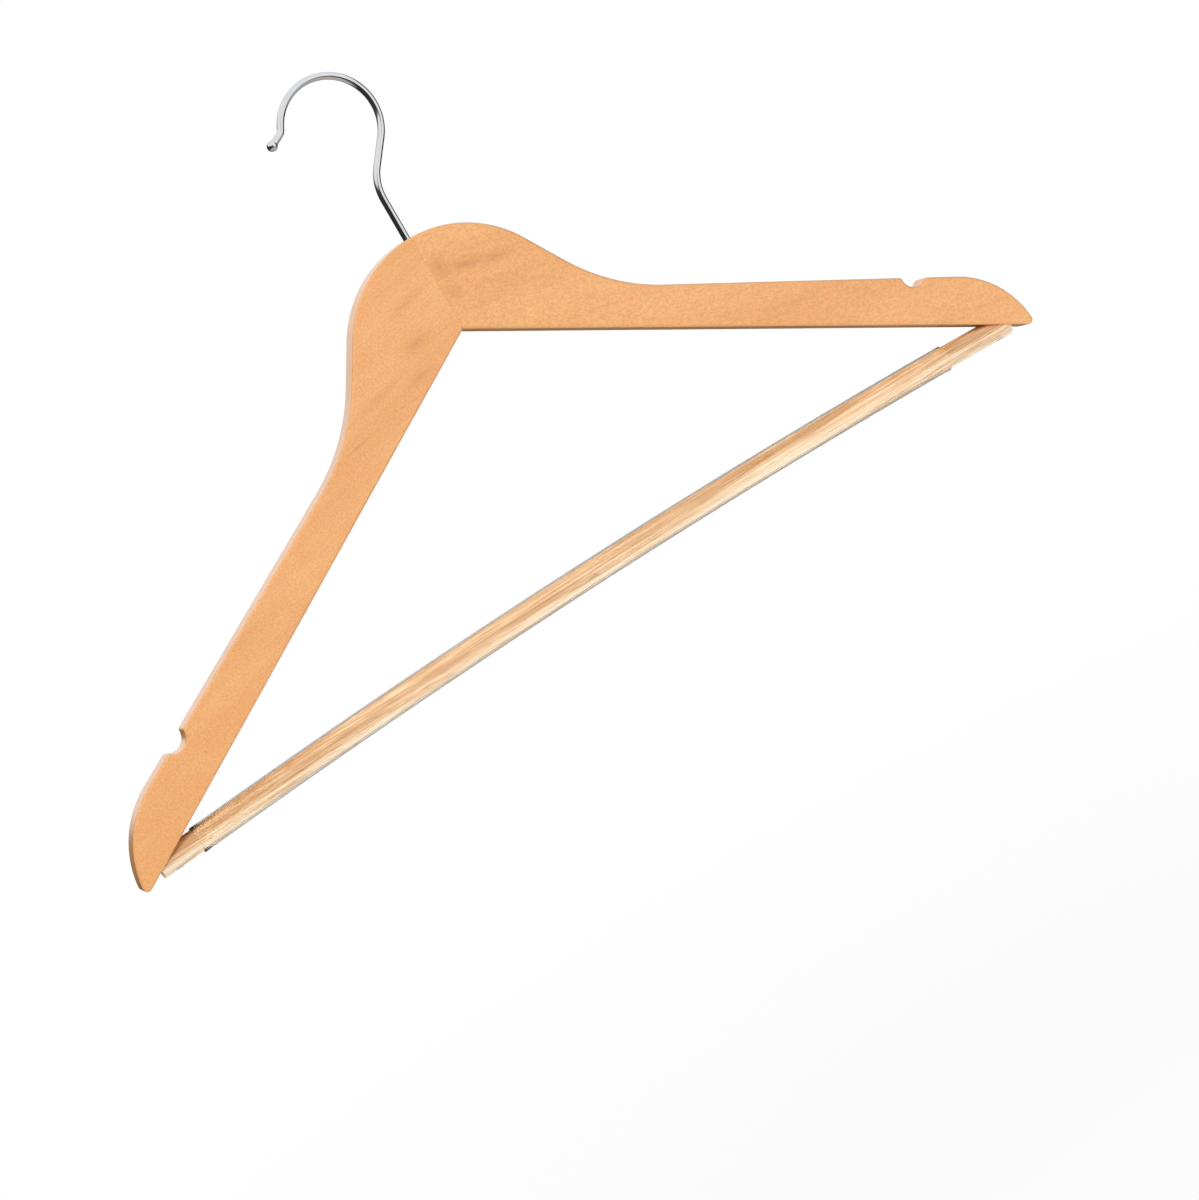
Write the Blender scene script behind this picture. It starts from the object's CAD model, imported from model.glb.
"""Wooden suit hanger with a swivelling chromed hook and a sleeved trouser bar.

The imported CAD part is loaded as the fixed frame. Each of its eight parts is then made
again as a finished surface in the same place: two lacquered wooden arms, the chromed
wire hook, the open-grained trouser bar in its ribbed clear sleeve, two threaded
screws and a fluted dowel. Sizes are in millimetres in the classes below and become
metres only when a mesh is made.

Row frame: +X along the width, +Z up, the front face of the wood towards -Y. The
origin is the hook's seat, on the swivel axis.
"""

import logging
import math
from dataclasses import dataclass, field
from enum import Enum

import bmesh
import bpy
import numpy as np
from mathutils import Matrix, Vector

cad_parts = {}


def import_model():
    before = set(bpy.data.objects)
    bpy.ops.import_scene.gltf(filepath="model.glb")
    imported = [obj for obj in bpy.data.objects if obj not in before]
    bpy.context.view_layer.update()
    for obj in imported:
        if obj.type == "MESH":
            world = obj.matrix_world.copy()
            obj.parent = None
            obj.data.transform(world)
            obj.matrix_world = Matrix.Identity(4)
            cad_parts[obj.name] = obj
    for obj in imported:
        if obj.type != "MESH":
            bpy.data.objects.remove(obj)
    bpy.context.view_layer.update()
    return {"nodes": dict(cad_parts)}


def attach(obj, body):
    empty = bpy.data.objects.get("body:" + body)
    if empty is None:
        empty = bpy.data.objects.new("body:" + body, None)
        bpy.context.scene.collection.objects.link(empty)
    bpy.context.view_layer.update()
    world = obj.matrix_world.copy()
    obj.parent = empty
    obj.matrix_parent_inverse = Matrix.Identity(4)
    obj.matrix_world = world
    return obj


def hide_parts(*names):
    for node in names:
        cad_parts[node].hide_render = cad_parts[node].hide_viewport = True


LOG = logging.getLogger("hanger")
MM = 0.001

# sizes that several classes share, in millimetres and degrees
CORNER = -112.7
LOWER_FALL = 29.0
BAR_MIDDLE = -223.702
BAR_BOW = 3800.0
SCREW_X = 206.0
SCREW_FACE = -233.784
SHANK_ROOM = 1.53

WHITE = (1.0, 1.0, 1.0, 1.0)

Triple = tuple[float, float, float]
Stops = tuple[tuple[float, str], ...]


class Side(Enum):
    """Which half of the hanger a piece belongs to, as the sign of its X."""

    LEFT = -1.0
    RIGHT = 1.0


# --- surfaces -------------------------------------------------------------------------


def sweep(start: float, stop: float, count: int) -> np.ndarray:
    """Angles in radians, evenly spaced between two in degrees, both ends counted."""
    return np.radians(np.linspace(start, stop, count))


def around(count: int) -> np.ndarray:
    """Angles in radians, evenly spaced once round a circle, the first not repeated."""
    return np.linspace(0, 2 * np.pi, count, endpoint=False)


def upward(fall: float) -> np.ndarray:
    """The unit normal, in XZ, of a surface that falls so many degrees towards +X."""
    return np.array([math.sin(math.radians(fall)), math.cos(math.radians(fall))])


def grid(points: np.ndarray, wrap_rows: bool = False) -> tuple:
    """Quads over rings of points: cell (i, j) joins its four neighbouring points.

    Args:
        points: array of shape (rings, points in a ring, 3). Each ring closes on itself.
        wrap_rows: join the last ring back to the first.

    Returns:
        The points as one flat list, and the quads that index them.
    """
    rows, columns = points.shape[:2]
    index = np.arange(rows * columns).reshape(rows, columns)
    if wrap_rows:
        index = np.vstack([index, index[:1]])
    index = np.hstack([index, index[:, :1]])
    quads = np.stack([index[:-1, :-1], index[1:, :-1], index[1:, 1:], index[:-1, 1:]], -1)
    return points.reshape(-1, 3), quads.reshape(-1, 4)


def cap(points: np.ndarray) -> tuple:
    """A flat lid over a closed ring of points: quads that all shrink to their middle."""
    middle = np.broadcast_to(points.mean(0), points.shape)
    return grid(np.stack([points, middle]))


def mesh_object(name: str, *pieces: tuple, crease: float = 35.0) -> bpy.types.Object:
    """One closed, outward-facing mesh from several grids, in metres.

    Args:
        name: name of the object.
        pieces: pairs of points in millimetres and quads, as grid() gives them.
        crease: edges sharper than this many degrees stay sharp in the shading.

    Returns:
        The new object, at the origin.
    """
    offsets = np.cumsum([0] + [len(points) for points, _ in pieces])
    points = np.vstack([points for points, _ in pieces]) * MM
    faces = np.vstack([quads + start for (_, quads), start in zip(pieces, offsets)])
    mesh = bpy.data.meshes.new(name)
    mesh.from_pydata(points.tolist(), [], faces.tolist())
    tidy_mesh(mesh, crease)
    obj = bpy.data.objects.new(name, mesh)
    bpy.context.scene.collection.objects.link(obj)
    return obj


def tidy_mesh(mesh: bpy.types.Mesh, crease: float) -> None:
    """Merge points that meet, drop empty faces, turn faces outwards and set the shading.

    Args:
        mesh: the mesh to finish.
        crease: edges sharper than this many degrees stay sharp.
    """
    work = bmesh.new()
    work.from_mesh(mesh)
    bmesh.ops.remove_doubles(work, verts=work.verts, dist=2e-7)
    bmesh.ops.dissolve_degenerate(work, edges=work.edges, dist=1e-8)
    bmesh.ops.recalc_face_normals(work, faces=work.faces)
    work.to_mesh(mesh)
    work.free()
    mesh.polygons.foreach_set("use_smooth", np.ones(len(mesh.polygons), bool))
    mesh.set_sharp_from_angle(angle=math.radians(crease))
    mesh.update()


def carve(obj: bpy.types.Object, *cutters: bpy.types.Object, crease: float = 35.0) -> None:
    """Take closed shapes out of a piece and keep only the resulting mesh.

    Args:
        obj: the piece.
        cutters: the shapes to take away, which are deleted afterwards.
        crease: edges sharper than this many degrees stay sharp.
    """
    for cutter in cutters:
        cut = obj.modifiers.new("cut", "BOOLEAN")
        cut.operation, cut.solver, cut.object = "DIFFERENCE", "EXACT", cutter
    graph = bpy.context.evaluated_depsgraph_get()
    old, new = obj.data, bpy.data.meshes.new_from_object(obj.evaluated_get(graph))
    obj.modifiers.clear()
    new.name = old.name
    obj.data = new
    bpy.data.meshes.remove(old)
    for cutter in cutters:
        bpy.data.meshes.remove(cutter.data)
    tidy_mesh(obj.data, crease)


def turned(profile: np.ndarray, centre: tuple[float, float], count: int = 48,
           flutes: tuple[int, float] = (0, 0.0), along_x: bool = False) -> tuple:
    """A turned surface: point (r cos a, r sin a, h) for each profile point (r, h).

    With flutes the radius is r - depth (1 - cos(n a)) / 2 wherever r is largest.

    Args:
        profile: array of (radius, height) pairs.
        centre: where the axis stands: (x, y), or (y, z) with along_x.
        count: points round the axis.
        flutes: how many flutes and how deep they are.
        along_x: lay the axis along X instead of Z.

    Returns:
        Points and quads.
    """
    angle = around(count)
    radius, height = profile[:, :1], profile[:, 1:]
    full = (radius > radius.max() - 1e-6).astype(float)
    radius = radius - full * flutes[1] * (1 - np.cos(flutes[0] * angle)) / 2
    across, over = radius * np.cos(angle), radius * np.sin(angle)
    height = np.broadcast_to(height, across.shape)
    if along_x:
        points = np.stack([height, across + centre[0], over + centre[1]], -1)
    else:
        points = np.stack([across + centre[0], over + centre[1], height], -1)
    return grid(points)


# --- finishes -------------------------------------------------------------------------


def linear(colour: str) -> tuple[float, float, float, float]:
    """Linear RGBA of an sRGB hex colour: ((c + 0.055) / 1.055) ** 2.4 above the toe.

    Args:
        colour: six hex digits.

    Returns:
        Red, green, blue and an alpha of one.
    """
    parts = np.array([int(colour[i:i + 2], 16) for i in (0, 2, 4)]) / 255
    parts = np.where(parts <= 0.04045, parts / 12.92, ((parts + 0.055) / 1.055) ** 2.4)
    return (*parts.tolist(), 1.0)


class Recipe:
    """The nodes of a material or of the world, being put together."""

    def __init__(self, owner: bpy.types.ID) -> None:
        """Start with no nodes.

        Args:
            owner: a new material or world.
        """
        owner.use_nodes = True
        self.owner, self.tree = owner, owner.node_tree
        self.tree.nodes.clear()

    def node(self, kind: str, *values, out: int | str = 0, stops: tuple = (),
             **named) -> bpy.types.NodeSocket | None:
        """Add a node with its settings and links.

        Args:
            kind: the node's type without its "ShaderNode" prefix.
            values: values or sockets for its inputs, in order.
            out: which output is wanted.
            stops: pairs of position and hex colour, for a colour ramp.
            named: settings in lower case, and inputs with a capital and _ for a space.
                An input such as in6 is meant by its number.

        Returns:
            The output socket that is wanted, if the node has any.
        """
        made = self.tree.nodes.new("ShaderNode" + kind)
        given = dict(enumerate(values))
        for key, value in named.items():
            if key[0].isupper():
                given[key.replace("_", " ")] = value
            elif key[2:].isdigit():
                given[int(key[2:])] = value
            else:
                setattr(made, key, value)
        for key, value in given.items():
            if isinstance(value, bpy.types.NodeSocket):
                self.tree.links.new(value, made.inputs[key])
            else:
                made.inputs[key].default_value = value
        if stops:
            elements = made.color_ramp.elements
            for position, _ in stops[2:]:
                elements.new(position)
            for element, (position, colour) in zip(elements, stops):
                element.position, element.color = position, linear(colour)
        return made.outputs[out] if made.outputs else None

    def place(self, stretch: Triple, turn: float = 0.0,
              shift: Triple = (0.0, 0.0, 0.0)) -> bpy.types.NodeSocket:
        """Object coordinates turned about Y and then divided by real sizes.

        Args:
            stretch: size of one unit along, through and across the grain, millimetres.
            turn: how far the grain falls towards +X, degrees.
            shift: moves the pattern, in its own units.

        Returns:
            The coordinates' socket.
        """
        turned_to = self.node("Mapping", self.node("TexCoord", out="Object"),
                              (0.0, 0.0, 0.0), (0.0, math.radians(-turn), 0.0))
        return self.node("Mapping", turned_to, shift, (0.0, 0.0, 0.0),
                         tuple(1 / (size * MM) for size in stretch))

    def surface(self, **values) -> bpy.types.Material:
        """Finish the material with one shader, given its inputs with _ for a space."""
        self.node("OutputMaterial", self.node("BsdfPrincipled", **values))
        return self.owner


@dataclass(frozen=True)
class Cloud:
    """A soft darker patch of figure in the wood of an arm."""

    x: float
    z: float
    length: float
    width: float
    strength: float


@dataclass(frozen=True)
class LacqueredArmWood:
    """Lotus wood, planed, sanded and sprayed with clear satin lacquer.

    A diffuse-porous wood: the eye sees an even honey colour with a very fine mottle,
    faint streaks along the grain, a few pin pores, and soft darker clouds of figure
    near the joint. The film of lacquer adds a soft sheen and no open pores.
    """

    name: str
    side: Side
    seed: float
    clouds: tuple[Cloud, ...]
    pale: str = "EDB172"
    plain: str = "E9A96B"
    deep: str = "DF9C5C"
    rosy: str = "EAA468"
    cloud: str = "B06A38"
    pore_shade: str = "8A5A32"
    grain_fall: float = 11.0
    broad: Triple = (70.0, 40.0, 13.0)
    streak: Triple = (26.0, 6.0, 1.4)
    # drawn a little coarser than the real cells, which would not show
    mottle: Triple = (0.975, 0.65, 0.65)
    blush: Triple = (8.0, 6.0, 5.0)
    pore: Triple = (9.0, 5.0, 5.0)
    bump: float = 0.008

    def fall(self) -> float:
        """How far the grain falls towards +X, degrees."""
        return self.grain_fall * self.side.value

    def material(self) -> bpy.types.Material:
        """Build the material.

        Returns:
            The material.
        """
        r = Recipe(bpy.data.materials.new(self.name))
        seed = (self.seed, self.seed * 1.7, self.seed * 0.6)
        broad, streaks, mottle, blush = (
            r.node("TexNoise", r.place(size, self.fall(), seed), Scale=1.0, Detail=detail,
                   Roughness=rough)
            for size, detail, rough in ((self.broad, 2.0, 0.5), (self.streak, 3.0, 0.6),
                                        (self.mottle, 1.0, 0.5), (self.blush, 2.0, 0.5)))
        tone = r.node("Math", broad, 0.45, 0.11, operation="MULTIPLY_ADD")
        tone = r.node("Math", streaks, 0.26, tone, operation="MULTIPLY_ADD")
        colour = r.node("ValToRGB", tone, stops=(
            (0.28, self.deep), (0.46, self.plain), (0.62, self.pale)))
        colour = r.node("Mix", r.node("MapRange", blush, 0.45, 0.7, 0.0, 0.7), out=2,
                        in6=colour, in7=linear(self.rosy), data_type="RGBA")
        speck = r.node("MapRange", mottle, 0.3, 0.7, 0.88, 1.09)
        colour = r.node("Mix", 1.0, out=2, in6=colour, data_type="RGBA",
                        in7=r.node("CombineColor", speck, speck, speck), blend_type="MULTIPLY")
        for cloud in self.clouds:
            colour = self.shade(r, cloud, colour, streaks)
        cells = r.node("TexVoronoi", r.place(self.pore, self.fall(), seed), Scale=1.0, out="Distance")
        dots = r.node("MapRange", cells, 0.03, 0.065, 0.35, 0.0, interpolation_type="SMOOTHSTEP")
        colour = r.node("Mix", dots, out=2, in6=colour, in7=linear(self.pore_shade), data_type="RGBA")
        height = r.node("Math", streaks, 0.6, mottle, operation="MULTIPLY_ADD")
        return r.surface(
            Base_Color=colour, Roughness=r.node("MapRange", mottle, 0.2, 0.8, 0.40, 0.48),
            IOR=1.5, Coat_Weight=1.0, Coat_Roughness=0.2, Coat_IOR=1.5,
            Normal=r.node("Bump", 1.0, self.bump * MM, Height=height))

    def shade(self, r: Recipe, cloud: Cloud, colour: bpy.types.NodeSocket,
              streaks: bpy.types.NodeSocket) -> bpy.types.NodeSocket:
        """Darken one cloud: strength times (1 - distance) squared from its middle.

        Args:
            r: the recipe in the making.
            cloud: the patch, in the row frame.
            colour: the colour so far.
            streaks: noise that breaks up its edge.

        Returns:
            The colour socket.
        """
        turn = math.radians(self.fall())
        along = cloud.x * math.cos(turn) - cloud.z * math.sin(turn)
        across = cloud.x * math.sin(turn) + cloud.z * math.cos(turn)
        half = (cloud.length / 2, 400.0, cloud.width / 2)
        place = r.place(half, self.fall(), (-along / half[0], 0.0, -across / half[2]))
        ball = r.node("TexGradient", place, out="Fac", gradient_type="QUADRATIC_SPHERE")
        broken = r.node("MapRange", streaks, 0.25, 0.75, cloud.strength * 0.6, cloud.strength)
        return r.node("Mix", r.node("Math", ball, broken, operation="MULTIPLY"), out=2,
                      in6=colour, in7=linear(self.cloud), data_type="RGBA")


@dataclass(frozen=True)
class OpenGrainBarWood:
    """Ash dowelling, turned and left bare.

    A ring-porous wood: the eye sees pale wood with long fine streaks, rows of short
    open pores that catch shadow, and no gloss.
    """

    name: str = "bar_wood"
    pale: str = "FAE6CC"
    plain: str = "E8C19A"
    early: str = "C08E5C"
    pore_shade: str = "A5744A"
    ring: Triple = (160.0, 3.2, 3.2)
    streak: Triple = (34.0, 0.42, 0.42)
    pore: Triple = (9.0, 0.3, 0.3)
    grain_fall: float = 0.5
    bump: float = 0.04

    def material(self) -> bpy.types.Material:
        """Build the material.

        Returns:
            The material.
        """
        r = Recipe(bpy.data.materials.new(self.name))
        rings, fine, dashes = (
            r.node("TexNoise", r.place(size, self.grain_fall, shift), Scale=1.0, Detail=detail,
                   Roughness=rough)
            for size, shift, detail, rough in ((self.ring, (0.0, 0.0, 0.0), 2.0, 0.5),
                                               (self.streak, (3.1, 0.4, 7.7), 2.0, 0.6),
                                               (self.pore, (1.7, 5.2, 0.3), 1.0, 0.5)))
        blend = r.node("Math", fine, 0.60, operation="MULTIPLY")
        blend = r.node("Math", rings, 0.45, blend, operation="MULTIPLY_ADD")
        # the dowel was cut with darker heartwood along its top
        heart = r.node("MapRange", self.height(r), -2.0, 3.0, -0.07, 0.12,
                       interpolation_type="SMOOTHSTEP")
        blend = r.node("Math", heart, blend, operation="ADD")
        colour = r.node("ValToRGB", blend, stops=(
            (0.42, self.pale), (0.53, self.plain), (0.68, self.early)))
        dashes = r.node("MapRange", dashes, 0.58, 0.70, interpolation_type="SMOOTHSTEP")
        open_pores = r.node("Math", dashes, r.node("MapRange", rings, 0.4, 0.65, 0.15, 0.7),
                            operation="MULTIPLY")
        colour = r.node("Mix", open_pores, out=2, in6=colour,
                        in7=linear(self.pore_shade), data_type="RGBA")
        relief = r.node("Math", fine, open_pores, operation="SUBTRACT")
        return r.surface(
            Base_Color=colour, Roughness=r.node("MapRange", fine, 0.2, 0.8, 0.55, 0.68),
            Specular_IOR_Level=0.3, Normal=r.node("Bump", 1.0, self.bump * MM, Height=relief))

    def height(self, r: Recipe) -> bpy.types.NodeSocket:
        """Millimetres above the bar's bowed middle line: z - middle + x^2 / (2 bow).

        Args:
            r: the recipe in the making.

        Returns:
            The height's socket.
        """
        place = r.place((1.0, 1.0, 1.0))
        x, z = (r.node("SeparateXYZ", place, out=axis) for axis in "XZ")
        rise = r.node("Math", r.node("Math", x, x, operation="MULTIPLY"),
                      1 / (2 * BAR_BOW), -BAR_MIDDLE, operation="MULTIPLY_ADD")
        return r.node("Math", z, rise, operation="ADD")


@dataclass(frozen=True)
class EvenFinish:
    """A finish without figure: one noise gives its two tints, its gloss and its bumps.

    grain is the noise's size and bump its height, in millimetres, and gloss maps two
    levels of the noise to two roughnesses. A ripple is the size of separate bumps.
    """

    name: str
    tints: Stops
    grain: Triple
    gloss: tuple[float, float, float, float]
    bump: float
    shader: dict[str, float] = field(default_factory=dict)
    detail: float = 2.0
    ripple: float = 0.0

    def material(self) -> bpy.types.Material:
        """Build the material.

        Returns:
            The material.
        """
        r = Recipe(bpy.data.materials.new(self.name))
        noise = r.node("TexNoise", r.place(self.grain), Scale=1.0, Detail=self.detail)
        bumps = noise if not self.ripple else r.node(
            "TexNoise", r.place((self.ripple,) * 3), Scale=1.0, Detail=1.0)
        return r.surface(
            Base_Color=r.node("ValToRGB", noise, stops=self.tints),
            Roughness=r.node("MapRange", noise, *self.gloss),
            Normal=r.node("Bump", 1.0, self.bump * MM, Height=bumps), **self.shader)


# Drawn steel wire, polished and bright chromium plated. The eye sees a mirror: white and
# black bands that follow the bends, softened a little by uneven plating.
CHROME_WIRE = EvenFinish(
    "chrome_wire", ((0.3, "E3E5E8"), (0.7, "EDEEF0")), (9.0, 9.0, 9.0),
    (0.3, 0.7, 0.08, 0.12), 0.0006, {"Metallic": 1.0}, ripple=2.0)

# Soft clear PVC tube, extruded with fine ribs. The eye sees the wood through it, a grey
# rim where only plastic is crossed, and thin long highlights on the ribs.
CLEAR_VINYL = EvenFinish(
    "clear_vinyl", ((0.3, "DCDBD5"), (0.7, "E3E3DE")), (60.0, 1.4, 1.4),
    (0.3, 0.7, 0.036, 0.108), 0.004, {"IOR": 1.5, "Transmission_Weight": 1.0})

# Steel screw, thread rolled and bright zinc plated: a soft, slightly blue grey.
ZINC_SCREW_STEEL = EvenFinish(
    "zinc_steel", ((0.3, "AEB3BA"), (0.7, "C9CDD2")), (0.5, 0.5, 0.5),
    (0.2, 0.8, 0.26, 0.42), 0.01, {"Metallic": 1.0}, detail=3.0)

# Compressed beech dowel: pale pink-brown with short dark ray flecks.
DOWEL_BEECH = EvenFinish(
    "dowel_wood", ((0.45, "DDB48A"), (0.68, "B58558")), (2.2, 0.4, 0.4),
    (0.3, 0.7, 0.5, 0.65), 0.03)


# --- the wooden arms ------------------------------------------------------------------


@dataclass
class Outline:
    """One side of an arm's outline, sampled: points with outward normals, in XZ."""

    points: list[np.ndarray] = field(default_factory=list)
    normals: list[np.ndarray] = field(default_factory=list)

    def arc(self, centre: tuple, radius: float, start: float, stop: float, step: float,
            hollow: bool = False) -> None:
        """Add an arc: centre + radius (cos a, sin a), normal outwards or inwards.

        Args:
            centre: centre of the arc.
            radius: its radius.
            start: first angle, degrees.
            stop: last angle, degrees.
            step: most degrees between two points.
            hollow: the wood lies outside the circle.
        """
        angle = sweep(start, stop, max(3, math.ceil(abs(stop - start) / step) + 1))
        ray = np.stack([np.cos(angle), np.sin(angle)], -1)
        self.points.append(np.asarray(centre) + radius * ray)
        self.normals.append(-ray if hollow else ray)

    def line(self, stop: np.ndarray, step: float) -> None:
        """Add a straight run from the last point, with the last normal.

        Args:
            stop: where it ends.
            step: most millimetres between two points.
        """
        start, normal = self.points[-1][-1], self.normals[-1][-1]
        count = max(1, math.ceil(np.linalg.norm(stop - start) / step))
        share = np.linspace(0, 1, count + 1)[1:, None]
        self.points.append(start + share * (stop - start))
        self.normals.append(np.repeat(normal[None], count, 0))

    def joined(self) -> tuple[np.ndarray, np.ndarray]:
        """All of it in order, without repeated points.

        Returns:
            Points and normals.
        """
        points, normals = np.vstack(self.points), np.vstack(self.normals)
        fresh = np.r_[True, np.linalg.norm(np.diff(points, axis=0), axis=1) > 1e-6]
        return points[fresh], normals[fresh]


@dataclass
class Arms:
    """The two wooden halves: sizes, meshes and lacquer."""

    reach: float = 222.5
    half_thickness: float = 6.0
    edge_round: float = 1.2
    shoulder_fall: float = 27.7
    shoulder_offset: float = 15.4
    apex: float = 41.4
    dome_radius: float = 49.0
    flank_fall: float = 57.5
    waist_radius: float = 84.0
    end_radius: float = 41.5
    tip_radius: float = 2.0
    notch_reach: float = 182.7
    notch_radius: float = 5.8
    notch_depth: float = 3.9
    notch_lip: float = 1.6
    edge_margin: float = 0.12
    glue_line: float = 0.09
    slide_reach: float = 25.0
    wire_room: tuple[float, float] = (1.55, 23.05)
    anchor_room: tuple[float, float] = (2.65, 20.55)
    mouth: tuple[float, float] = (1.8, 2.0)
    dowel_room: Triple = (3.05, 12.5, 10.5)
    screw_room: tuple[float, float] = (-233.754, -213.754)

    def upper(self) -> tuple[np.ndarray, np.ndarray]:
        """Apex to tip: dome, flank, waist, shoulder, notch, rounded end, half the tip.

        Each arc is centre + radius (cos a, sin a); the centres follow from every curve
        being tangent to the one before it.

        Returns:
            Points and outward normals.
        """
        flank, shoulder = upward(self.flank_fall), upward(self.shoulder_fall)
        dome = np.array([0.0, self.apex - self.dome_radius])
        reaches = (dome @ flank + self.dome_radius + self.waist_radius,
                   self.shoulder_offset + self.waist_radius)
        waist = np.linalg.solve(np.array([flank, shoulder]), np.array(reaches))
        tip = self.tip_centre()
        along = np.array([shoulder[1], -shoulder[0]])
        foot = (self.shoulder_offset - self.end_radius) * shoulder
        gap = foot - tip
        run = -gap @ along - math.sqrt((gap @ along) ** 2 - gap @ gap
                                       + (self.end_radius - self.tip_radius) ** 2)
        end = foot + run * along
        end_turn = math.degrees(math.atan2(*(tip - end)[::-1]))
        # the notch, in a frame that lies along the shoulder
        at = self.notch_reach
        seat = np.array([at, (self.shoulder_offset - at * shoulder[0]) / shoulder[1]])
        lift = self.notch_radius - self.notch_depth
        apart = math.sqrt((self.notch_radius + self.notch_lip) ** 2 - (lift + self.notch_lip) ** 2)
        turn = math.degrees(math.atan2(lift + self.notch_lip, apart))
        scoop = seat + lift * shoulder
        fall = self.shoulder_fall
        lips = [seat + s * apart * along - self.notch_lip * shoulder for s in (-1, 1)]
        made = Outline()
        made.arc(dome, self.dome_radius, 90, 90 - self.flank_fall, 1.2)
        made.line(waist + self.waist_radius * -flank, 3.0)
        made.arc(waist, self.waist_radius, 270 - self.flank_fall, 270 - fall, 0.9, True)
        made.line(seat - apart * along, 4.0)
        made.arc(lips[0], self.notch_lip, 90 - fall, turn - fall, 8)
        made.arc(scoop, self.notch_radius, 180 + turn - fall, 360 - turn - fall, 4, True)
        made.arc(lips[1], self.notch_lip, 180 - turn - fall, 90 - fall, 8)
        made.line(end + self.end_radius * shoulder, 3.0)
        made.arc(end, self.end_radius, 90 - fall, end_turn, 1.5)
        made.arc(tip, self.tip_radius, end_turn, -LOWER_FALL, 6)
        return made.joined()

    def tip_centre(self) -> np.ndarray:
        """One radius above the lower edge and one inside the width.

        Returns:
            Centre of the tip's round.
        """
        x = self.reach - self.tip_radius
        fall = math.radians(LOWER_FALL)
        return np.array([x, (self.tip_radius - math.sin(fall) * x) / math.cos(fall)])

    def lower(self, share: np.ndarray) -> tuple[np.ndarray, np.ndarray]:
        """Inner corner to tip: the straight lower edge, then half the tip's round.

        Args:
            share: fractions of the length, from 0 at the joint to 1 at the tip.

        Returns:
            Points and outward normals at those fractions.
        """
        fall = LOWER_FALL
        made = Outline()
        made.points.append(np.zeros((1, 2)))
        down = math.radians(-90 - fall)
        made.normals.append(np.array([[math.cos(down), math.sin(down)]]))
        tip = self.tip_centre()
        made.line(tip + self.tip_radius * made.normals[0][0], 300.0)
        made.arc(tip, self.tip_radius, -90 - fall, -fall, 1.0)
        points, normals = made.joined()
        length = np.r_[0, np.cumsum(np.linalg.norm(np.diff(points, axis=0), axis=1))]
        want = share * length[-1]
        points, normals = (np.stack([np.interp(want, length, k) for k in rows.T], -1)
                           for rows in (points, normals))
        return points, normals / np.linalg.norm(normals, axis=1, keepdims=True)

    def shell(self) -> np.ndarray:
        """The skin of the right arm: a closed section carried from the joint to the tip.

        Section point r at station i is (1 - v) L(i, d) + v U(i, d) at depth y, where L
        and U are the lower and upper outlines moved inwards by d. Round an edge,
        d = R (1 - sin a) and y = T - R (1 - cos a) with a from 0 to 90 degrees.

        Returns:
            Points of shape (stations, places round the section, 3).
        """
        upper, upper_normal = self.upper()
        fall = math.radians(LOWER_FALL)
        along = np.array([math.cos(fall), -math.sin(fall)])
        travel = upper @ along
        share = (travel - travel[0]) / (travel[-1] - travel[0])
        share = np.maximum.accumulate(share)
        lower, lower_normal = self.lower(share)

        turn = sweep(0, 90, 9)
        edge, margin, half = self.edge_round, self.edge_margin, self.half_thickness
        inset = np.r_[edge + margin, edge * (1 - np.sin(turn)), 0.0]
        depth = np.r_[half, half - edge * (1 - np.cos(turn)), half - edge - margin]
        across = np.array([0.25, 0.5, 0.75])
        flat = np.full(len(across), inset[0])
        # once round the section: up the front, over the top, down the back, under
        v = np.r_[across, np.ones(len(inset) * 2), across[::-1], np.zeros(len(inset) * 2)]
        d = np.r_[flat, inset, inset[::-1], flat, inset, inset[::-1]]
        y = np.r_[-half + 0 * flat, -depth, depth[::-1], half + 0 * flat, depth, -depth[::-1]]

        # near the joint the lower rows slide so that they still end on the swivel axis
        slide = np.clip(1 - lower @ along / self.slide_reach, 0, 1)[:, None, None]
        low = (lower[:, None] - d[:, None] * lower_normal[:, None]
               - slide * d[:, None] * math.tan(fall) * along)
        high = upper[:, None] - d[:, None] * upper_normal[:, None]
        section = (1 - v[:, None]) * low + v[:, None] * high
        points = np.stack([section[..., 0], np.broadcast_to(y, section.shape[:2]),
                           section[..., 1] + CORNER], -1)

        # a fine V along the joint: the first section is drawn in and one is added
        first = points[:1].copy()
        points[0, :, 0] = self.glue_line
        middle = np.array([0.0, 0.0, CORNER + self.apex / 2])
        pull = 1 - self.glue_line / np.array([1.0, half, self.apex / 2])
        first = middle + (first - middle) * pull
        return np.vstack([first, points])

    def build(self, side: Side) -> bpy.types.Object:
        """Make the right arm, drill it, and give the left one half a turn about Z.

        Args:
            side: which arm.

        Returns:
            The arm.
        """
        name = "arm_" + side.name.lower()
        points = self.shell()
        arm = mesh_object(name, grid(points), cap(points[0]), crease=40.0)
        carve(arm, *self.drills(), crease=40.0)
        if side is Side.LEFT:
            arm.data.transform(Matrix.Diagonal((-1.0, -1.0, 1.0, 1.0)))
        return arm

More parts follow.
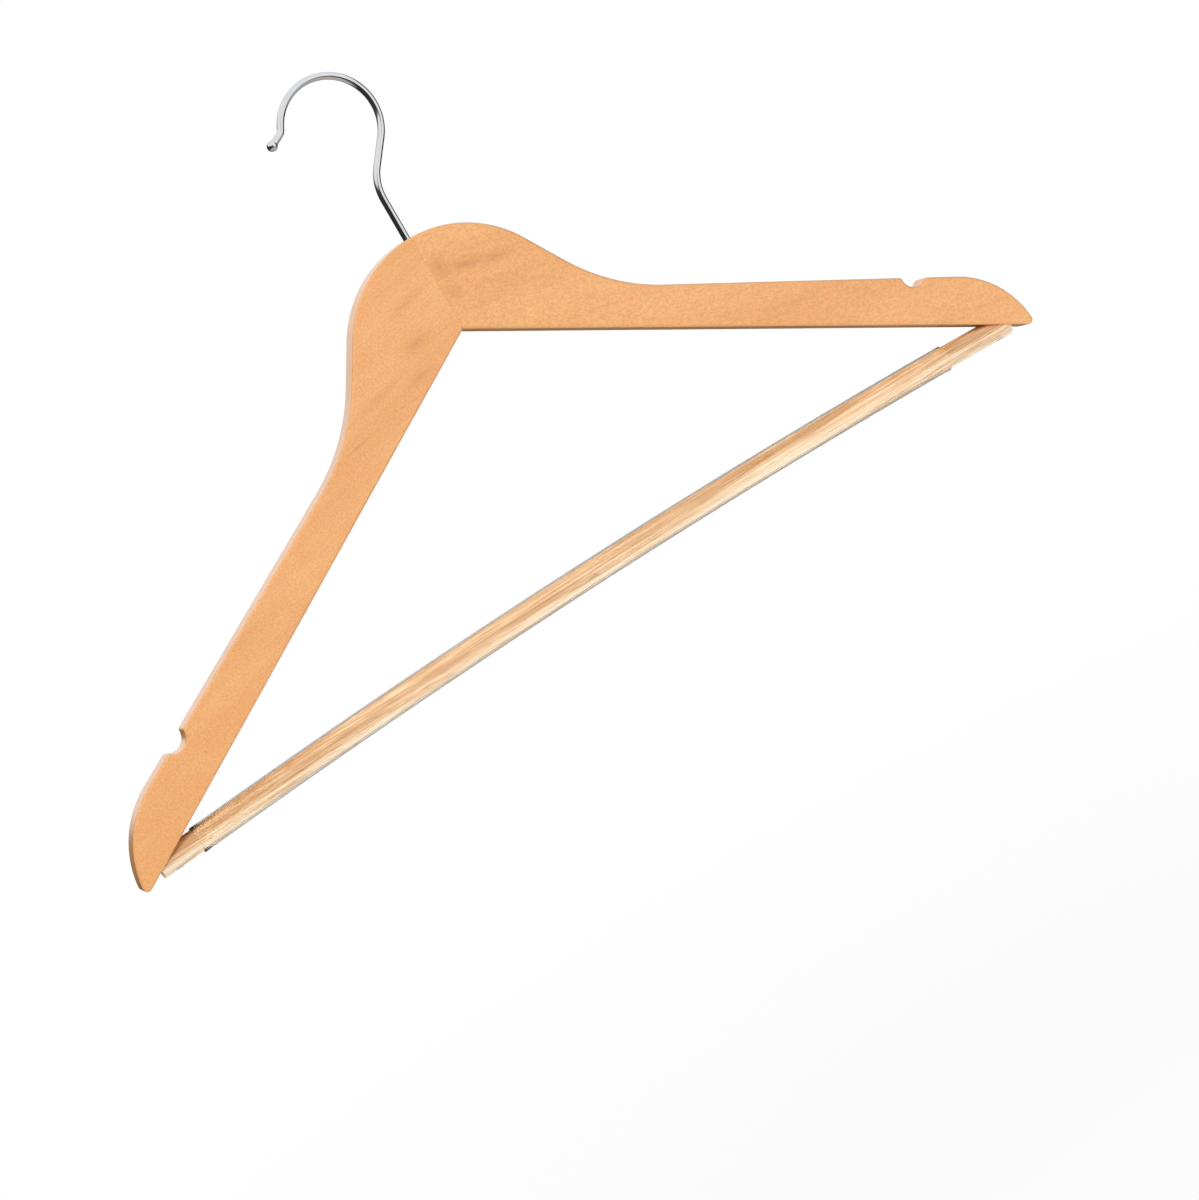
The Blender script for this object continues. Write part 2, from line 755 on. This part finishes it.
    def drills(self) -> list[bpy.types.Object]:
        """The hook's hole, the dowel's socket and the screw's pilot.

        Returns:
            Closed shapes to take away.
        """
        top = CORNER + self.apex
        bore, bottom = self.wire_room
        room, ledge = self.anchor_room
        mouth, mouth_depth = self.mouth
        hole = np.array([(0, top - bottom), (room, top - bottom), (room, top - ledge),
                         (bore, top - ledge), (bore, top - mouth_depth - 0.55),
                         (mouth, top - mouth_depth), (mouth, top + 2.0), (0, top + 2.0)])
        socket, reach, height = self.dowel_room
        dowel = np.array([(0, -reach), (socket, -reach), (socket, reach), (0, reach)])
        low, high = self.screw_room
        screw = np.array([(0, low), (SHANK_ROOM, low), (SHANK_ROOM, high - 3.0), (0, high)])
        return [mesh_object("cut_hole", turned(hole, (0.0, 0.0), 64)),
                mesh_object("cut_dowel", turned(dowel, (0.0, CORNER + height), 48, along_x=True)),
                mesh_object("cut_pilot", turned(screw, (SCREW_X, 0.0), 32))]


# --- the hook -------------------------------------------------------------------------


@dataclass
class Hook:
    """The wire hook: one wire bent in a plane, with a ball and a buried head."""

    wire: float = 1.5
    bottom: float = -94.3
    bend_radius: float = 20.0
    lean: float = 39.0
    arch_radius: float = 20.3
    arch_centre: tuple[float, float] = (-3.9, -18.8)
    wrap: float = 154.0
    neck_radius: float = 4.0
    neck_turn: float = 38.0
    neck_length: float = 5.1
    ball: float = 2.2
    anchor: tuple[float, float] = (2.6, 2.4)
    head_round: float = 0.6
    head_nick: float = 0.15
    fillet: float = 0.7
    facets: int = 40
    step: float = 0.8

    def runs(self) -> tuple[np.ndarray, np.ndarray]:
        """The wire's runs: shank, bend, slant, arch, neck, then to the ball's middle.

        Returns:
            Their lengths and how far each turns the wire, degrees.
        """
        lean = math.radians(self.lean)
        start = (self.arch_centre[0] + self.arch_radius * math.cos(lean),
                 self.arch_centre[1] - self.arch_radius * math.sin(lean))
        bend_z = start[1] - (self.bend_radius - math.cos(lean)
                             * (self.bend_radius - start[0])) / math.sin(lean)
        leave = (self.bend_radius * (1 - math.cos(lean)), bend_z + self.bend_radius * math.sin(lean))
        lengths = [bend_z - self.bottom, self.bend_radius * lean,
                   math.hypot(start[0] - leave[0], start[1] - leave[1]),
                   self.arch_radius * math.radians(self.wrap + self.lean),
                   self.neck_radius * math.radians(self.neck_turn), self.neck_length]
        turns = [0.0, -self.lean, 0.0, self.wrap + self.lean, -self.neck_turn, 0.0]
        return np.array(lengths), np.array(turns)

    def line(self, at: np.ndarray) -> tuple[np.ndarray, np.ndarray]:
        """Middle line of the wire: the heading changes evenly along each run.

        Each step is its length times sinc(turn / 2) along the heading at its middle,
        which is exact on a line and on an arc.

        Args:
            at: distances along the wire, rising, in millimetres.

        Returns:
            Points in XZ and headings in radians.
        """
        lengths, turns = self.runs()
        knots = np.r_[0, np.cumsum(lengths)]
        headings = np.radians(90 + np.r_[0, np.cumsum(turns)])
        every = np.union1d(np.union1d(at, knots), np.arange(0, knots[-1], 0.5))
        heading = np.interp(every, knots, headings)
        step, turn = np.diff(every), np.diff(heading)
        middle = (heading[1:] + heading[:-1]) / 2
        chord = step * np.sinc(turn / (2 * np.pi))
        x = np.r_[0, np.cumsum(chord * np.cos(middle))]
        z = self.bottom + np.r_[0, np.cumsum(chord * np.sin(middle))]
        points = np.stack([np.interp(at, every, x), np.interp(at, every, z)], -1)
        return points, np.interp(at, knots, headings)

    def build(self) -> bpy.types.Object:
        """Carry a circle of changing radius along the middle line.

        Point = C(s) + rho(s) (cos a N(s) + sin a Y). On the ball rho is
        sqrt(B^2 - (s - ball)^2), joined to the wire by a small hollow fillet.

        Returns:
            The hook.
        """
        lengths, _ = self.runs()
        middle = lengths.sum()
        head, height = self.anchor
        edge, ease, nick = sweep(0, 90, 6), self.head_round, self.head_nick
        stations = [(0.0, 0.0), *zip(ease - ease * np.cos(edge), head - ease + ease * np.sin(edge)),
                    (height - nick, head), (height, head - nick), (height, self.wire)]
        # the fillet: a circle of radius f outside both the wire and the ball
        f = self.fillet
        reach = math.sqrt((self.ball + f) ** 2 - (self.wire + f) ** 2)
        lift = math.atan2(self.wire + f, reach)
        fillet = np.linspace(np.pi / 2, lift, 7)
        plain = np.r_[height + 0.2, np.arange(height + 1.2, middle - reach - 0.6, self.step)]
        stations += [(s, self.wire) for s in plain.tolist()]
        stations += zip(middle - reach + f * np.cos(fillet), self.wire + f - f * np.sin(fillet))
        round_off = np.linspace(np.pi - lift, 0, 22)
        stations += zip(middle + self.ball * np.cos(round_off), self.ball * np.sin(round_off))
        s, rho = np.array(stations).T
        centre, heading = self.line(np.minimum(s, middle))
        beyond = np.maximum(s - middle, 0)[:, None]
        centre = centre + beyond * np.stack([np.cos(heading), np.sin(heading)], -1)
        angle = around(self.facets)
        side = rho[:, None] * np.cos(angle)
        points = np.stack([centre[:, :1] - np.sin(heading)[:, None] * side,
                           rho[:, None] * np.sin(angle),
                           centre[:, 1:] + np.cos(heading)[:, None] * side], -1)
        return mesh_object("hook_wire", grid(points), crease=40.0)


# --- the bar and its sleeve -----------------------------------------------------------


@dataclass
class TrouserBar:
    """The bowed wooden bar and the ribbed clear sleeve on it."""

    radius: float = 4.9
    reach: float = 212.8
    end_round: float = 0.45
    sleeve_inner: float = 4.95
    sleeve_outer: float = 5.6
    sleeve_left: float = -194.6
    sleeve_right: float = 179.5
    ribs: int = 30
    rib_depth: float = 0.05
    head_room: Triple = (2.83, 0.25, 1.7)

    def drop(self, x: np.ndarray) -> np.ndarray:
        """Height of the bar's middle line at x: middle - x^2 / (2 bow)."""
        return BAR_MIDDLE - x ** 2 / (2 * BAR_BOW)

    def tube(self, x: np.ndarray, radius: np.ndarray, angle: np.ndarray) -> np.ndarray:
        """A tube on the bowed line: (x - r sin a n, r cos a, z + r sin a).

        n = x / bow is the slope of the line, which leans each section square to it.

        Args:
            x: stations along the bar.
            radius: radius at each station, or at each station and angle.
            angle: angles round the tube.

        Returns:
            Points of shape (stations, angles, 3).
        """
        over = radius * np.sin(angle)
        lean = (x / BAR_BOW)[:, None]
        return np.stack([x[:, None] + over * lean, radius * np.cos(angle) + 0 * over,
                         self.drop(x)[:, None] + over], -1)

    def build_bar(self) -> bpy.types.Object:
        """The wooden bar: a rod with eased ends, bevelled under both arms.

        Returns:
            The bar.
        """
        turn = sweep(0, 90, 6)
        ease = self.end_round * (1 - np.cos(turn))
        shrink = self.radius - self.end_round * (1 - np.sin(turn))
        body = np.linspace(-self.reach + self.end_round, self.reach - self.end_round, 141)
        x = np.r_[-self.reach, -self.reach + ease, body[1:-1], self.reach - ease[::-1], self.reach]
        radius = np.r_[0.0, shrink, np.full(len(body) - 2, self.radius), shrink[::-1], 0.0][:, None]
        angle = around(72)
        bar = mesh_object("bar_rod", grid(self.tube(x, radius, angle)))
        carve(bar, *self.wedges(), *self.head_holes())
        return bar

    def wedges(self) -> list[bpy.types.Object]:
        """The wood above each arm's lower edge, as a thick slab along that edge.

        Returns:
            Closed shapes to take away.
        """
        fall = math.tan(math.radians(LOWER_FALL))
        made = []
        for side in Side:
            x = side.value * np.array([150.0, 240.0, 240.0, 150.0])
            z = CORNER - np.abs(x) * fall + np.array([0.0, 0.0, 30.0, 30.0])
            ring = np.stack([x, np.zeros(4), z], -1)
            front, back = ring - (0, 8.0, 0), ring + (0, 8.0, 0)
            made.append(mesh_object("cut_wedge", grid(np.stack([front, back])), cap(front), cap(back)))
        return made

    def head_holes(self) -> list[bpy.types.Object]:
        """Countersinks and shank holes of the two screws, from below.

        Returns:
            Closed shapes to take away.
        """
        wide, rim, deep = self.head_room
        low = SCREW_FACE
        profile = np.array([(0, low - 3.0), (wide, low - 3.0), (wide, low + rim),
                            (SHANK_ROOM, low + deep), (SHANK_ROOM, low + 18.0), (0, low + 18.0)])
        return [mesh_object("cut_head", turned(profile, (side.value * SCREW_X, 0.0))) for side in Side]

    def build_sleeve(self) -> bpy.types.Object:
        """The sleeve: outside radius R - depth (1 - cos(n a)) / 2, plain inside.

        Returns:
            The sleeve.
        """
        ease = 0.12
        span = np.linspace(self.sleeve_left, self.sleeve_right, 76)
        outer_x = np.r_[self.sleeve_left, self.sleeve_left + ease, span[1:-1],
                        self.sleeve_right - ease, self.sleeve_right]
        count = len(outer_x)
        trim = np.zeros(count)
        trim[[0, -1]] = ease
        angle = around(self.ribs * 8)
        rib = self.rib_depth * (1 - np.cos(self.ribs * angle)) / 2
        outer = self.sleeve_outer - rib[None] - trim[:, None]
        inner = np.full((count, len(angle)), self.sleeve_inner)
        shell = np.vstack([self.tube(outer_x, outer, angle), self.tube(outer_x[::-1], inner, angle)])
        sleeve = mesh_object("sleeve_tube", grid(shell, wrap_rows=True), crease=50.0)
        # light goes through clear plastic to the wood
        sleeve.visible_shadow = False
        return sleeve


# --- screws and dowel -----------------------------------------------------------------


@dataclass
class BarScrew:
    """A countersunk wood screw with a rolled thread and a cross recess."""

    length: float = 20.0
    shank: float = 1.5
    root: float = 1.08
    pitch: float = 1.3
    plain: float = 5.6
    point: float = 3.0
    head: float = 2.8
    head_rim: float = 0.25
    head_height: float = 1.7
    recess: Triple = (0.8, 2.8, 1.1)

    def build(self, side: Side) -> bpy.types.Object:
        """Make one screw: a turned head and shank whose radius follows a helix.

        On the thread the radius is root + (shank - root) t, with t the sharp ridge
        max(0, 1 - 3.2 |frac(h / pitch - a / 2 pi) - 0.5|), fading out at both ends.

        Args:
            side: which end of the bar it holds.

        Returns:
            The screw.
        """
        top = self.length
        height = np.r_[0.0, 0.0, self.head_rim, self.head_height, self.plain,
                       np.arange(self.plain + 0.1, top - 0.05, 0.1), top]
        base = np.interp(height, [0, self.head_rim, self.head_height, top - self.point,
                                  top], [self.head, self.head, self.shank, self.shank, 0])
        base[0] = 0.0
        angle = around(36)
        phase = height[:, None] / self.pitch - angle / (2 * np.pi)
        ridge = np.clip(1 - 3.2 * np.abs(phase - np.floor(phase) - 0.5), 0, 1)
        started = np.clip((height - self.plain) / self.pitch, 0, 1)[:, None]
        depth = (1 - self.root / self.shank) * started
        radius = base[:, None] * (1 - depth * (1 - ridge))
        points = np.stack([radius * np.cos(angle) + side.value * SCREW_X, radius * np.sin(angle),
                           np.broadcast_to(height[:, None] + SCREW_FACE, radius.shape)], -1)
        screw = mesh_object("screw_" + side.name.lower(), grid(points), crease=50.0)
        carve(screw, self.cross(side), crease=50.0)
        return screw

    def cross(self, side: Side) -> bpy.types.Object:
        """The driver's recess: a cross that narrows as it goes in.

        Args:
            side: which screw it is for.

        Returns:
            The cutter.
        """
        wide, span, deep = self.recess
        w, s = wide / 2, span / 2
        ring = np.array([(s, -w), (s, w), (w, w), (w, s), (-w, s), (-w, w), (-s, w),
                         (-s, -w), (-w, -w), (-w, -s), (w, -s), (w, -w)])
        levels = np.array([(-0.5, 1.0), (0.0, 1.0), (deep, 0.55)])
        points = np.stack([np.c_[ring * shrink + (side.value * SCREW_X, 0.0),
                                 np.full(12, SCREW_FACE + z)] for z, shrink in levels])
        return mesh_object("cut_cross", grid(points), cap(points[0]), cap(points[-1]))


@dataclass
class JointDowel:
    """The hidden dowel across the joint, fluted to let the glue past."""

    height: float = -102.2
    radius: float = 3.0
    half_length: float = 12.0
    chamfer: float = 0.8
    flutes: tuple[int, float] = (20, 0.22)

    def build(self) -> bpy.types.Object:
        """Make a turned rod with long flutes and chamfered ends.

        Returns:
            The dowel.
        """
        reach, ease = self.half_length, self.chamfer
        small = self.radius - ease
        profile = np.array([(0, -reach), (small, -reach), (self.radius, ease - reach),
                            *((self.radius, x) for x in np.linspace(2 - reach, reach - 2, 9)),
                            (self.radius, reach - ease), (small, reach), (0, reach)])
        return mesh_object("dowel_rod", turned(profile, (0.0, self.height), 160,
                                               self.flutes, along_x=True))


# --- studio ---------------------------------------------------------------------------


@dataclass
class Studio:
    """Pale floor, soft lights and the camera. Metres here, as Blender has them."""

    eye: Triple = (-0.3306, -1.0669, -0.0610)
    right: Triple = (0.8049, -0.3258, -0.4961)
    up: Triple = (0.5191, -0.0186, 0.8545)
    ahead: Triple = (0.2876, 0.9453, -0.1541)
    lens: float = 83.64
    sensor: float = 36.0
    target: Triple = (0.0, 0.0, -0.12)
    # name, place, watts, side of the square
    lamps: tuple = (("key_light", (-1.6, -2.6, 3.3), 170.0, 2.2),
                    ("low_light", (0.25, -1.15, -2.1), 31.0, 1.2))
    # direction, where its edge starts and stops, level
    cards: tuple = (((0.669, -0.741, 0.050), 0.77, 0.85, 0.9),
                    ((0.100, 0.931, 0.350), 0.90, 0.95, 0.9),
                    ((0.0, -0.26, 0.966), 0.36, 0.50, 0.9),
                    ((0.0, 0.0, -1.0), 0.45, 0.70, 0.45))
    ambient: float = 0.40
    black: float = 0.03
    floor_height: float = -0.62
    floor_rings: tuple = (0.0, 400.0, 1500.0, 9000.0)

    def camera(self) -> None:
        """Make the camera, with its axes right, up and backwards squared by an SVD."""
        data = bpy.data.cameras.new("camera")
        data.lens, data.sensor_width, data.sensor_fit = self.lens, self.sensor, "AUTO"
        data.clip_start, data.clip_end = 0.05, 60.0
        data.dof.use_dof = False
        obj = bpy.data.objects.new("camera", data)
        axes = np.array([self.right, self.up, [-c for c in self.ahead]])
        turn, _, back = np.linalg.svd(axes)
        pose = np.eye(4)
        pose[:3, :3], pose[:3, 3] = (turn @ back).T, self.eye
        obj.matrix_world = Matrix(pose.tolist())
        bpy.context.scene.collection.objects.link(obj)
        bpy.context.scene.camera = obj

    def floor(self) -> None:
        """A large round pale floor that brightens to plain white far out."""
        angle = around(96)
        radius = np.array(self.floor_rings)[:, None]
        flat = np.full((len(radius), len(angle)), self.floor_height / MM)
        points = np.stack([radius * np.cos(angle), radius * np.sin(angle), flat], -1)
        floor = mesh_object("studio_floor", grid(points))
        r = Recipe(bpy.data.materials.new("studio_paper"))
        ball = r.node("TexGradient", r.place((2000.0,) * 3, 0.0, (0.0, 0.0, 0.31)),
                      out="Fac", gradient_type="SPHERICAL")
        fade = r.node("MapRange", ball, 0.45, 0.85, 1.0, 0.85)
        paper = r.node("BsdfPrincipled", linear("F6F6F5"), Roughness=0.9, Specular_IOR_Level=0.1)
        glow = r.node("Emission", WHITE, 1.0)
        r.node("OutputMaterial", r.node("MixShader", fade, paper, glow))
        floor.data.materials.append(r.owner)
        # the paper is lit but throws no light back, so the undersides stay in shade
        floor.visible_diffuse = floor.visible_glossy = floor.visible_shadow = False

    def lamp(self, name: str, place: Triple, power: float, size: float) -> None:
        """A square soft light aimed at the hanger, which gloss and chrome don't show.

        Args:
            name: the light's name.
            place: where it stands.
            power: watts.
            size: its side.
        """
        data = bpy.data.lights.new(name, "AREA")
        data.shape, data.size, data.size_y = "RECTANGLE", size, size
        data.energy = power
        obj = bpy.data.objects.new(name, data)
        obj.location = place
        away = Vector(place) - Vector(self.target)
        obj.rotation_mode = "QUATERNION"
        obj.rotation_quaternion = away.to_track_quat("Z", "Y")
        obj.visible_camera = obj.visible_glossy = False
        bpy.context.scene.collection.objects.link(obj)

    def world(self) -> None:
        """White to the eye and through the sleeve, plain ambient light on the wood.

        Mirrors see a black room with three white cards, at the front right, high behind
        and overhead, and a grey one underneath. The level is the greatest of the cards,
        each a smooth step of the direction's dot product with the card's axis.
        """
        bpy.context.scene.world = bpy.data.worlds.new("studio")
        r = Recipe(bpy.context.scene.world)
        direction = r.node("TexCoord", out="Generated")
        level = self.black
        for axis, start, stop, card in self.cards:
            along = r.node("VectorMath", direction, axis, operation="DOT_PRODUCT", out="Value")
            card = r.node("MapRange", along, start, stop, self.black, card,
                          interpolation_type="SMOOTHSTEP")
            level = r.node("Math", level, card, operation="MAXIMUM")
        camera, passed, glossy, depth = (r.node("LightPath", out=name) for name in (
            "Is Camera Ray", "Is Transmission Ray", "Is Glossy Ray", "Diffuse Depth"))
        seen = r.node("Math", camera, passed, operation="MAXIMUM")
        direct = r.node("Math", depth, 0.5, operation="LESS_THAN")
        seen = r.node("Math", seen, direct, operation="MULTIPLY")
        dim = r.node("Mix", glossy, in2=self.ambient, in3=level)
        strength = r.node("Mix", seen, in2=dim, in3=1.0)
        r.node("OutputWorld", r.node("Background", WHITE, strength))

    def build(self) -> None:
        """Set up the whole studio."""
        view = bpy.context.scene.view_settings
        view.view_transform, view.look = "Standard", "None"
        self.floor()
        self.world()
        for lamp in self.lamps:
            self.lamp(*lamp)
        self.camera()


# --- the whole hanger -----------------------------------------------------------------


def main() -> None:
    """Build the hanger piece by piece, then the studio round it."""
    logging.basicConfig(level=logging.INFO, format="%(name)s: %(message)s")
    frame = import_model()

    left_wood = LacqueredArmWood("arm_wood_left", Side.LEFT, 3.7, (
        Cloud(-20, -108, 26, 12, 0.5), Cloud(-25, -120, 24, 9, 0.35), Cloud(-17, -93, 30, 8, 0.3),
        Cloud(-46, -119, 36, 9, 0.25), Cloud(-61, -131, 22, 2, 0.5))).material()
    right_wood = LacqueredArmWood("arm_wood_right", Side.RIGHT, 9.2, (
        Cloud(4, -87, 14, 20, 0.5), Cloud(14, -91, 30, 10, 0.6), Cloud(27, -95, 28, 8, 0.45),
        Cloud(4, -98, 16, 18, 0.3))).material()
    arms, bar, screw = Arms(), TrouserBar(), BarScrew()
    chrome, zinc = CHROME_WIRE.material(), ZINC_SCREW_STEEL.material()
    for piece, material, node, body, slot in (
            (arms.build(Side.LEFT), left_wood, "left_arm", "hanger", "arm_wood"),
            (arms.build(Side.RIGHT), right_wood, "right_arm", "hanger", "arm_wood"),
            (Hook().build(), chrome, "swivel_hook", "hook", "chrome_wire"),
            (bar.build_bar(), OpenGrainBarWood().material(), "trouser_bar", "hanger", "bar_wood"),
            (bar.build_sleeve(), CLEAR_VINYL.material(), "grip_sleeve", "hanger", "clear_vinyl"),
            (screw.build(Side.LEFT), zinc, "bar_screw_left", "hanger", "zinc_steel"),
            (screw.build(Side.RIGHT), zinc, "bar_screw_right", "hanger", "zinc_steel"),
            (JointDowel().build(), DOWEL_BEECH.material(), "joint_dowel", "hanger", "dowel_wood")):
        piece.data.materials.clear()
        piece.data.materials.append(material)
        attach(piece, body)
        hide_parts(node)
        # the hidden CAD part wears the same finish
        for worn in frame["nodes"][node].material_slots:
            worn.link, worn.material = "OBJECT", material
        LOG.info("%s: %d faces for %s", piece.name, len(piece.data.polygons), node)

    Studio().build()


if __name__ == "__main__":
    main()
